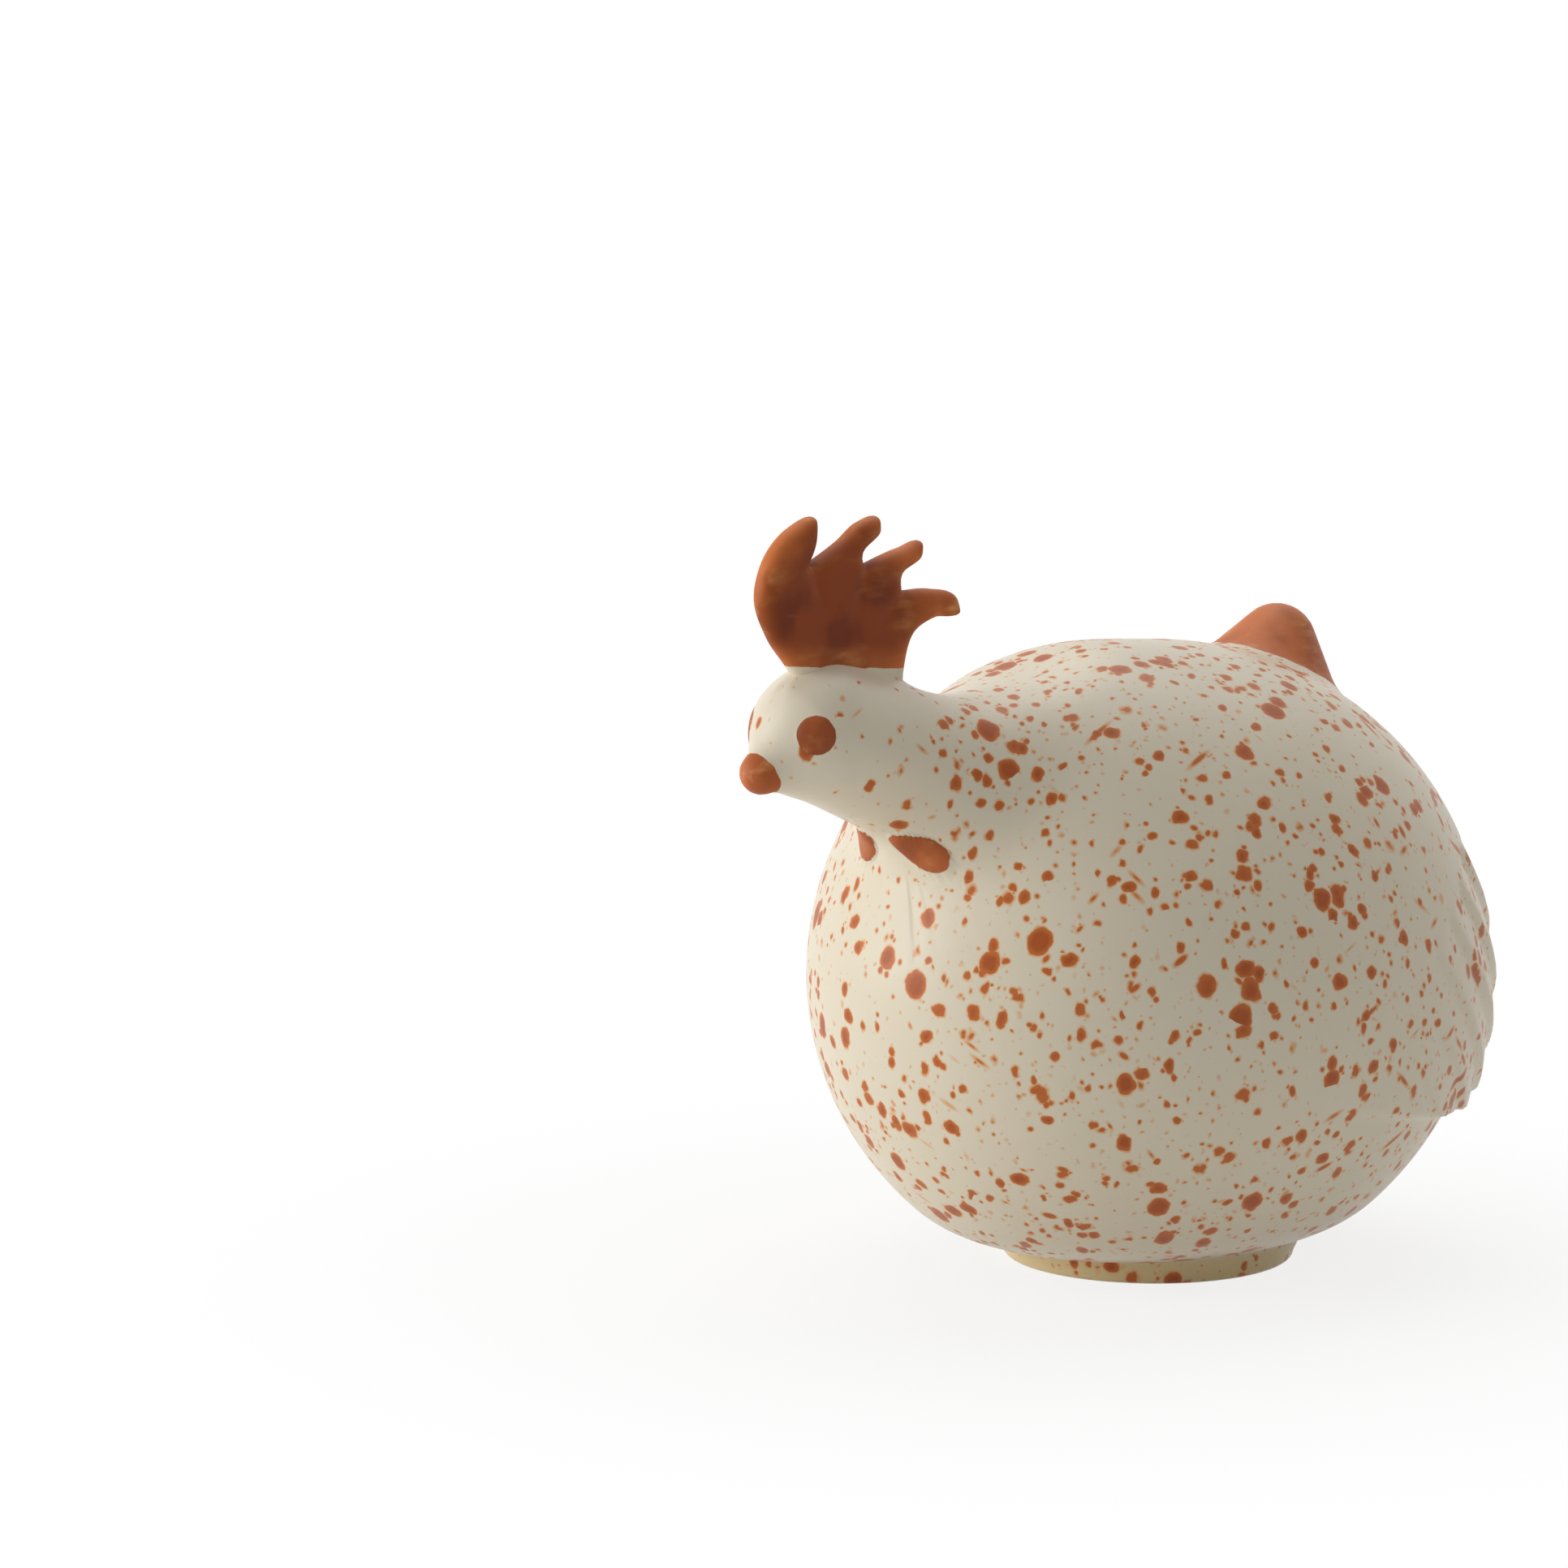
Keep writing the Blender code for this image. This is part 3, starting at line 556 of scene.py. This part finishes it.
def make_skin(material):
    """The glazed skin with its wings, eyes and wattles raised along the normals, and its painted patches."""
    points, quads, caps = skin_grid(SIDES, RINGS)
    normals = skin_normals(points)
    beak_out = np.array([0.0, -math.cos(BEAK_PAINT_SLOPE), -math.sin(BEAK_PAINT_SLOPE)])
    beak_from = HEAD_CENTRE + BEAK_PAINT_AT * BEAK_AXIS
    beak = (points - beak_from) @ beak_out + BEAK_PAINT_CURVE * points[:, 0] ** 2
    beak = np.where(points[:, 1] < HEAD_CENTRE[1], beak, -1.0)
    tail = body_gap(points) - tail_gap(points) - TAIL_PAINT_RISE
    tail = np.where(points[:, 1] > BODY_CENTRE[1], tail, -1.0)
    eyes = np.maximum(eye_inset(points, 1), eye_inset(points, -1))
    wattles = np.maximum(wattle_inset(points, 1), wattle_inset(points, -1))
    rise = wing_rise(points) + dome(eyes, EYE_RADIUS, EYE_RISE) + dome(wattles, WATTLE_EDGE, WATTLE_RISE)
    paint = np.maximum.reduce([beak, tail, eyes, wattles])
    near = [patch > -AMBER_MARGIN for patch in (beak, tail, wattles)]
    amber = np.select(near, [BEAK_AMBER, TAIL_AMBER, WATTLE_AMBER], EYE_AMBER)
    points = points + normals * rise[:, None]
    add_piece("glazed_skin", points, quads, caps, material, (("paint", paint / MM), ("amber", amber)))


def make_hollow(material):
    """The casting's bare inside: the same skin, inset by the wall and turned to face inwards."""
    points, quads, caps = skin_grid(HOLLOW_SIDES, HOLLOW_RINGS, WALL)
    add_piece("hollow", points, quads[:, ::-1], caps[:, ::-1], material)


def make_comb(material):
    """The comb: a plate whose half thickness runs out in a quarter round at its outline, less its grooves."""
    def place(back, up):
        return COMB_FRONT + back * COMB_LENGTH, COMB_BASE + up * COMB_HEIGHT

    loop = outline_loop(COMB_OUTLINE, place)
    low, high = loop.min(axis=0) - COMB_CELL, loop.max(axis=0) + COMB_CELL
    across = np.arange(low[0], high[0] + COMB_CELL, COMB_CELL)
    upward = np.arange(low[1], high[1] + COMB_CELL, COMB_CELL)
    flat = np.stack(np.meshgrid(across, upward, indexing="ij"), axis=-1).reshape(-1, 2)
    depth, nearest = depth_inside(loop, flat)
    count = len(upward)
    corner = (np.arange(len(across) - 1)[:, None] * count + np.arange(count - 1)[None]).reshape(-1)
    quads = np.stack([corner, corner + count, corner + count + 1, corner + 1], axis=-1)
    quads = quads[(depth[quads] > COMB_RIM).any(axis=1)]
    rim = depth < COMB_RIM
    flat = np.where(rim[:, None], nearest, flat)
    depth = np.where(rim, 0.0, depth)
    share = np.clip(depth / COMB_EDGE, 0.0, 1.0)
    half = COMB_HALF_THICKNESS * np.sqrt(1.0 - (1.0 - share) ** 2)
    for start, end, groove_depth in COMB_GROOVES:
        from_point, to_point = np.array(place(*start)), np.array(place(*end))
        along = to_point - from_point
        run = np.clip((flat - from_point) @ along / (along @ along), 0.0, 1.0)
        aside = np.linalg.norm(flat - from_point - run[:, None] * along, axis=1)
        half -= groove_depth * MM * (1.0 - run) * np.exp(-(aside / COMB_GROOVE_WIDTH) ** 2) * share
    half = np.maximum(half, 0.0)
    total = len(flat)
    left = np.column_stack([half, flat])
    right = np.column_stack([-half, flat])
    mirror = np.where(depth > 0.0, np.arange(total) + total, np.arange(total))
    both = np.concatenate([quads, mirror[quads][:, ::-1]])
    points = np.concatenate([left, right])
    used, compact = np.unique(both, return_inverse=True)
    over_line = points[used][:, 2] - COMB_PAINT_HEIGHT + COMB_PAINT_FALL * (points[used][:, 1] - COMB_FRONT)
    at_rim = np.exp(-np.tile(depth, 2)[used] / COMB_RIM_WIDTH)
    at_root = smooth_step(-over_line, -COMB_ROOT_FADE, 0.0)
    at_tips = smooth_step(np.linalg.norm(points[used][:, 1:] - COMB_HEART, axis=1), *COMB_TIPS)
    amber = COMB_AMBER + COMB_RIM_AMBER * at_rim + COMB_ROOT_AMBER * at_root + COMB_TIP_AMBER * at_tips
    values = (("paint", over_line / MM), ("amber", np.clip(amber, 0.0, 1.0)))
    add_piece("comb", points[used], compact.reshape(both.shape), NO_TRIANGLES, material, values)


def arc(centre, radius, start, end, count):
    """Points of a flat arc from angle start to angle end, in degrees."""
    angle = np.radians(np.linspace(start, end, count))
    return np.stack([centre[0] + radius * np.cos(angle), centre[1] + radius * np.sin(angle)], axis=-1)


def make_foot(material):
    """The foot: a profile turned about its upright axis, from inside the drain hole to the crease."""
    inner = FOOT_RADIUS - FOOT_RING
    under = UNDERSIDE_HEIGHT - RECESS_COVER
    flange = under + WALL + DRAIN_MARGIN
    crease = FOOT_RADIUS + FOOT_FLARE
    profile = np.concatenate([
        [(DRAIN_RADIUS + DRAIN_FLANGE, flange), (DRAIN_RADIUS, flange)],
        arc((DRAIN_RADIUS + RECESS_ROUND, under + RECESS_ROUND), RECESS_ROUND, 180, 270, 6),
        arc((inner - RECESS_ROUND, under - RECESS_ROUND), RECESS_ROUND, 90, 0, 6),
        arc((inner + FOOT_EDGE, FOOT_EDGE), FOOT_EDGE, 180, 270, 8),
        arc((FOOT_RADIUS - FOOT_EDGE, FOOT_EDGE), FOOT_EDGE, 270, 360, 8),
        [(crease, CREASE_HEIGHT)],
        arc((crease + CREASE_ROUND, CREASE_HEIGHT + CREASE_LIFT), CREASE_ROUND, 180, 110, 6),
        [(crease + CREASE_TUCK, UNDERSIDE_HEIGHT + WALL)],
    ])
    angle = (np.arange(FOOT_SIDES) * 2 * math.pi / FOOT_SIDES)[None]
    radius = profile[:, 0][:, None]
    points = np.stack([
        radius * np.sin(angle),
        FOOT_CENTRE_Y + radius * np.cos(angle),
        np.repeat(profile[:, 1][:, None], FOOT_SIDES, axis=1),
    ], axis=-1).reshape(-1, 3)
    quads = ring_faces(len(profile) + 1, FOOT_SIDES) % len(points)
    values = (("paint", np.full(len(points), UNPAINTED)), ("amber", np.zeros(len(points))))
    add_piece("foot_ring", points, quads, NO_TRIANGLES, material, values)


def linear(code):
    """A colour written as #rrggbb in sRGB, as linear values with alpha 1."""
    parts = [int(code[i:i + 2], 16) / 255 for i in (1, 3, 5)]
    return tuple(c / 12.92 if c <= 0.04045 else ((c + 0.055) / 1.055) ** 2.4 for c in parts) + (1.0,)


def add_node(owner, kind, settings=None, inputs=None):
    """Adds a node to a material or the world: settings are its properties, inputs values or sockets."""
    tree = owner.node_tree
    node = tree.nodes.new(kind)
    for name, value in (settings or {}).items():
        setattr(node, name, value)
    for name, value in (inputs or {}).items():
        if isinstance(value, bpy.types.NodeSocket):
            tree.links.new(value, node.inputs[name])
        else:
            node.inputs[name].default_value = value
    return node


def splatter_depth(material, place):
    """How deep each point lies inside a flicked drop, in mm: the deepest over layers of scattered cells."""
    wobble = add_node(
        material, "ShaderNodeTexNoise", None, {"Vector": place, "Scale": WOBBLE_SCALE, "Detail": 1.0}
    )
    centred = add_node(
        material,
        "ShaderNodeVectorMath",
        {"operation": "SUBTRACT"},
        {0: wobble.outputs["Color"], 1: (0.5, 0.5, 0.5)},
    )
    shift = add_node(
        material, "ShaderNodeVectorMath", {"operation": "SCALE"}, {0: centred.outputs[0], "Scale": WOBBLE}
    )
    moved = add_node(material, "ShaderNodeVectorMath", {"operation": "ADD"}, {0: place, 1: shift.outputs[0]})
    crowd = add_node(
        material, "ShaderNodeTexNoise", None, {"Vector": place, "Scale": CROWD_SCALE, "Detail": 1.0}
    )
    sparse = add_node(
        material,
        "ShaderNodeMapRange",
        SMOOTH,
        {"Value": crowd.outputs[0], "From Min": 0.58, "From Max": 0.36},
    )
    layers = [(moved.outputs[0], *layer) for layer in SPLATTER] + [(place, *layer) for layer in STREAKS]
    deepest = None
    for source, cell, largest, empty, turn, stretch in layers:
        turned = add_node(
            material,
            "ShaderNodeMapping",
            {"vector_type": "TEXTURE"},
            {"Vector": source, "Rotation": turn, "Scale": stretch},
        )
        drops = add_node(
            material,
            "ShaderNodeTexVoronoi",
            {"feature": "F1", "voronoi_dimensions": "3D"},
            {"Vector": turned.outputs[0], "Scale": 1 / (cell * MM), "Randomness": 1.0},
        )
        chance = add_node(material, "ShaderNodeSeparateColor", None, {0: drops.outputs["Color"]})
        full = add_node(
            material,
            "ShaderNodeMath",
            {"operation": "MULTIPLY_ADD"},
            {0: chance.outputs[0], 1: largest + empty, 2: -empty},
        )
        radius = add_node(
            material,
            "ShaderNodeMath",
            {"operation": "MULTIPLY_ADD"},
            {0: sparse.outputs[0], 1: -SPLATTER_THINNING * (largest + empty), 2: full.outputs[0]},
        )
        depth = add_node(
            material,
            "ShaderNodeMath",
            {"operation": "MULTIPLY_ADD"},
            {0: drops.outputs["Distance"], 1: -cell, 2: radius.outputs[0]},
        )
        if deepest is None:
            deepest = depth
        else:
            deepest = add_node(
                material,
                "ShaderNodeMath",
                {"operation": "MAXIMUM"},
                {0: deepest.outputs[0], 1: depth.outputs[0]},
            )
    return deepest.outputs[0]


def brushed_stain(material, place, amber):
    """Brushed iron-oxide stain: streaks along the stroke, and thin amber places where clay shows through."""
    stroke = add_node(
        material,
        "ShaderNodeMapping",
        {"vector_type": "POINT"},
        {"Vector": place, "Rotation": (0.7, 0.0, 0.0), "Scale": (1.0, 0.35, 1.0)},
    )
    streaks = add_node(
        material,
        "ShaderNodeTexNoise",
        None,
        {"Vector": stroke.outputs[0], "Scale": BRUSH_SCALE, "Detail": 3.0},
    )
    blots = add_node(
        material, "ShaderNodeTexNoise", None, {"Vector": place, "Scale": BLOT_SCALE, "Detail": 2.0}
    )
    body, light, dark = [
        add_node(material, "ShaderNodeMix", COLOURS, {BY: amber, FROM: linear(deep), TO: linear(thin)})
        for deep, thin in (STAIN_BODY, STAIN_LIGHT, STAIN_DARK)
    ]
    pooled = add_node(
        material,
        "ShaderNodeMapRange",
        SMOOTH,
        {"Value": blots.outputs[0], "From Min": 0.42, "From Max": 0.66},
    )
    brushed = add_node(
        material,
        "ShaderNodeMapRange",
        SMOOTH,
        {"Value": streaks.outputs[0], "From Min": 0.52, "From Max": 0.95},
    )
    tone = add_node(
        material,
        "ShaderNodeMix",
        COLOURS,
        {BY: pooled.outputs[0], FROM: body.outputs[MIXED], TO: dark.outputs[MIXED]},
    )
    stain = add_node(
        material,
        "ShaderNodeMix",
        COLOURS,
        {BY: brushed.outputs[0], FROM: tone.outputs[MIXED], TO: light.outputs[MIXED]},
    )
    return stain.outputs[MIXED], streaks.outputs[0]


def spotted_cream(material, place):
    """The tin-white glaze, warmer where it thins at the foot, with drops that melt into it through a halo."""
    apart = add_node(material, "ShaderNodeSeparateXYZ", None, {0: place})
    face = add_node(
        material,
        "ShaderNodeMapRange",
        SMOOTH,
        {"Value": apart.outputs["Y"], "From Min": FACE_RANGE[0], "From Max": FACE_RANGE[1]},
    )
    low = add_node(
        material,
        "ShaderNodeMapRange",
        SMOOTH,
        {"Value": apart.outputs["Z"], "From Min": FOOT_RANGE[0], "From Max": FOOT_RANGE[1]},
    )
    depth = add_node(
        material,
        "ShaderNodeMath",
        {"operation": "MULTIPLY_ADD"},
        {0: face.outputs[0], 1: -FACE_THINNING, 2: splatter_depth(material, place)},
    ).outputs[0]
    tint = add_node(
        material, "ShaderNodeTexNoise", None, {"Vector": place, "Scale": TINT_SCALE, "Detail": 3.0}
    )
    tinted = add_node(
        material,
        "ShaderNodeMix",
        COLOURS,
        {BY: tint.outputs[0], FROM: linear(CREAM[0]), TO: linear(CREAM[1])},
    )
    cream = add_node(
        material,
        "ShaderNodeMix",
        COLOURS,
        {BY: low.outputs[0], FROM: tinted.outputs[MIXED], TO: linear(FOOT_CREAM)},
    )
    near, deep, inside = [
        add_node(material, "ShaderNodeMapRange", SMOOTH, {"Value": depth, "From Min": start, "From Max": end})
        for start, end in DROP_RANGES
    ]
    halo = add_node(
        material,
        "ShaderNodeMix",
        COLOURS,
        {BY: near.outputs[0], FROM: cream.outputs[MIXED], TO: linear(HALO)},
    )
    drop = add_node(
        material,
        "ShaderNodeMix",
        COLOURS,
        {BY: deep.outputs[0], FROM: linear(DROP[0]), TO: linear(DROP[1])},
    )
    return add_node(
        material,
        "ShaderNodeMix",
        COLOURS,
        {BY: inside.outputs[0], FROM: halo.outputs[MIXED], TO: drop.outputs[MIXED]},
    ).outputs[MIXED]


def make_glaze(name, index):
    """Stoneware under a satin tin-white glaze: cream with a soft sheen, and iron-oxide drops melted into it.

    The comb's has the lower index: its stain lies thick and dry, so it mirrors less of the white room.
    """
    material = bpy.data.materials.new(name)
    material.use_nodes = True
    shader = material.node_tree.nodes["Principled BSDF"]
    place = add_node(material, "ShaderNodeTexCoord").outputs["Object"]
    paint = add_node(material, "ShaderNodeAttribute", {"attribute_name": "paint"}).outputs["Fac"]
    amber = add_node(material, "ShaderNodeAttribute", {"attribute_name": "amber"}).outputs["Fac"]
    ragged = add_node(
        material, "ShaderNodeTexNoise", None, {"Vector": place, "Scale": PAINT_EDGE_SCALE, "Detail": 2.0}
    )
    edge = add_node(
        material, "ShaderNodeMath", {"operation": "MULTIPLY_ADD"}, {0: ragged.outputs[0], 1: 0.9, 2: paint}
    )
    stained = add_node(
        material, "ShaderNodeMapRange", SMOOTH, {"Value": edge.outputs[0], "From Min": 0.4, "From Max": 0.6}
    )
    stain, streaks = brushed_stain(material, place, amber)
    colour = add_node(
        material,
        "ShaderNodeMix",
        COLOURS,
        {BY: stained.outputs[0], FROM: spotted_cream(material, place), TO: stain},
    )
    # The stain dries out the glaze, so it shines less
    sheen = add_node(
        material, "ShaderNodeMapRange", None, {"Value": stained.outputs[0], "To Min": 0.38, "To Max": 0.52}
    )
    # Ripple of the melted glaze, 4 mm across and at most 0.2 mm deep, and the brush marks where it's stained
    ripple = add_node(
        material, "ShaderNodeTexNoise", None, {"Vector": place, "Scale": RIPPLE_SCALE, "Detail": 2.0}
    )
    marks = add_node(
        material,
        "ShaderNodeMath",
        {"operation": "MULTIPLY_ADD"},
        {0: streaks, 1: stained.outputs[0], 2: ripple.outputs[0]},
    )
    bump = add_node(
        material, "ShaderNodeBump", None, {"Height": marks.outputs[0], "Distance": 0.2 * MM, "Strength": 0.5}
    )
    tree = material.node_tree
    tree.links.new(colour.outputs[MIXED], shader.inputs["Base Color"])
    tree.links.new(sheen.outputs[0], shader.inputs["Roughness"])
    tree.links.new(bump.outputs[0], shader.inputs["Normal"])
    shader.inputs["IOR"].default_value = index
    return material


def make_bare_clay():
    """Unglazed stoneware: matt, buff, a little mottled, with no sheen."""
    material = bpy.data.materials.new("bare_stoneware")
    material.use_nodes = True
    shader = material.node_tree.nodes["Principled BSDF"]
    place = add_node(material, "ShaderNodeTexCoord").outputs["Object"]
    grain = add_node(
        material, "ShaderNodeTexNoise", None, {"Vector": place, "Scale": GRAIN_SCALE, "Detail": 3.0}
    )
    clay = add_node(
        material,
        "ShaderNodeMix",
        COLOURS,
        {BY: grain.outputs[0], FROM: linear(CLAY[0]), TO: linear(CLAY[1])},
    )
    material.node_tree.links.new(clay.outputs[MIXED], shader.inputs["Base Color"])
    shader.inputs["Roughness"].default_value = 0.85
    return material


def background_rays(owner):
    """1 for the rays that should see a white background: from the camera, off gloss or through glass."""
    path = add_node(owner, "ShaderNodeLightPath")
    direct = add_node(
        owner,
        "ShaderNodeMath",
        {"operation": "ADD"},
        {0: path.outputs["Is Camera Ray"], 1: path.outputs["Is Glossy Ray"]},
    )
    return add_node(
        owner,
        "ShaderNodeMath",
        {"operation": "ADD", "use_clamp": True},
        {0: direct.outputs[0], 1: path.outputs["Is Transmission Ray"]},
    ).outputs[0]


def make_floor():
    """White paper: it keeps a trace of the bird's soft shadow and fades to plain white away from it."""
    mesh = bpy.data.meshes.new("floor")
    corners = [(FLOOR_HALF * x, FLOOR_HALF * y, 0) for x, y in ((-1, -1), (1, -1), (1, 1), (-1, 1))]
    mesh.from_pydata(corners, [], [(0, 1, 2, 3)])
    floor = bpy.data.objects.new("floor", mesh)
    bpy.context.scene.collection.objects.link(floor)
    material = bpy.data.materials.new("white_paper")
    material.use_nodes = True
    tree = material.node_tree
    shader = tree.nodes["Principled BSDF"]
    shader.inputs["Base Color"].default_value = linear(PAPER)
    shader.inputs["Roughness"].default_value = 0.9
    place = add_node(material, "ShaderNodeTexCoord").outputs["Object"]
    away = add_node(material, "ShaderNodeVectorMath", {"operation": "LENGTH"}, {0: place}).outputs["Value"]
    fade = add_node(
        material,
        "ShaderNodeMapRange",
        SMOOTH,
        {
            "Value": away,
            "From Min": FLOOR_FADE[0],
            "From Max": FLOOR_FADE[1],
            "To Min": FLOOR_WHITE,
            "To Max": 1.0,
        },
    )
    share = add_node(
        material,
        "ShaderNodeMath",
        {"operation": "MULTIPLY"},
        {0: fade.outputs[0], 1: background_rays(material)},
    )
    white = add_node(material, "ShaderNodeEmission", None, {"Color": (1.0, 1.0, 1.0, 1.0), "Strength": 1.0})
    both = add_node(
        material,
        "ShaderNodeMixShader",
        None,
        {0: share.outputs[0], 1: shader.outputs[0], 2: white.outputs[0]},
    )
    tree.links.new(both.outputs[0], tree.nodes["Material Output"].inputs["Surface"])
    mesh.materials.append(material)


def add_area_light(name, place, width, power):
    """A square soft light, turned to the bird's middle."""
    lamp = bpy.data.lights.new(name, "AREA")
    lamp.shape = "SQUARE"
    lamp.size = width
    lamp.energy = power
    light = bpy.data.objects.new(name, lamp)
    light.location = place
    light.rotation_euler = (Vector(LIGHTS_AIM) - Vector(place)).to_track_quat("-Z", "Y").to_euler()
    bpy.context.scene.collection.objects.link(light)


def make_lights():
    """A wide window on the bird's face side, a soft light overhead and behind, and an even white room."""
    add_area_light("window", WINDOW_PLACE, WINDOW_WIDTH, WINDOW_POWER)
    add_area_light("ceiling", CEILING_PLACE, CEILING_WIDTH, CEILING_POWER)
    world = bpy.data.worlds.new("white_room")
    bpy.context.scene.world = world
    world.use_nodes = True
    tree = world.node_tree
    background = tree.nodes["Background"]
    background.inputs["Color"].default_value = (1.0, 1.0, 1.0, 1.0)
    strength = add_node(
        world,
        "ShaderNodeMapRange",
        None,
        {"Value": background_rays(world), "To Min": ROOM_LIGHT, "To Max": 1.0},
    )
    tree.links.new(strength.outputs[0], background.inputs["Strength"])


def make_camera():
    """Turns the camera until the foot's middle falls on its own pixel of the photograph's frame."""
    data = bpy.data.cameras.new("camera")
    camera = bpy.data.objects.new("camera", data)
    offset = np.array([
        CAMERA_DISTANCE * math.sin(CAMERA_AZIMUTH),
        -CAMERA_DISTANCE * math.cos(CAMERA_AZIMUTH),
        CAMERA_HEIGHT,
    ])
    focal = np.linalg.norm(offset) / PIXEL_AT_FOOT
    data.sensor_width = SENSOR_WIDTH
    data.lens = SENSOR_WIDTH * focal / IMAGE_SIZE
    yaw = math.atan2(-offset[1], -offset[0])
    pitch = 0.0
    for _ in range(AIM_STEPS):
        ahead = np.array([math.cos(yaw) * math.cos(pitch), math.sin(yaw) * math.cos(pitch), math.sin(pitch)])
        right = np.cross(ahead, (0.0, 0.0, 1.0))
        right /= np.linalg.norm(right)
        up = np.cross(right, ahead)
        reach = -offset @ ahead
        column = IMAGE_SIZE / 2 + focal * (-offset @ right) / reach
        row = IMAGE_SIZE / 2 - focal * (-offset @ up) / reach
        yaw += (FOOT_PIXEL[0] - column) / focal
        pitch += (FOOT_PIXEL[1] - row) / focal
    camera.location = Vector(offset) + Vector((0.0, FOOT_CENTRE_Y, 0.0))
    camera.rotation_euler = Vector(ahead).to_track_quat("-Z", "Y").to_euler()
    bpy.context.scene.collection.objects.link(camera)
    bpy.context.scene.camera = camera


make_camera()
glaze = make_glaze("satin_stoneware_glaze", 1.4)
make_skin(glaze)
make_comb(make_glaze("dry_iron_stain", 1.3))
make_hollow(make_bare_clay())
make_foot(glaze)
make_floor()
make_lights()
bpy.context.scene.view_settings.view_transform = "Standard"

bpy.context.view_layer.update()
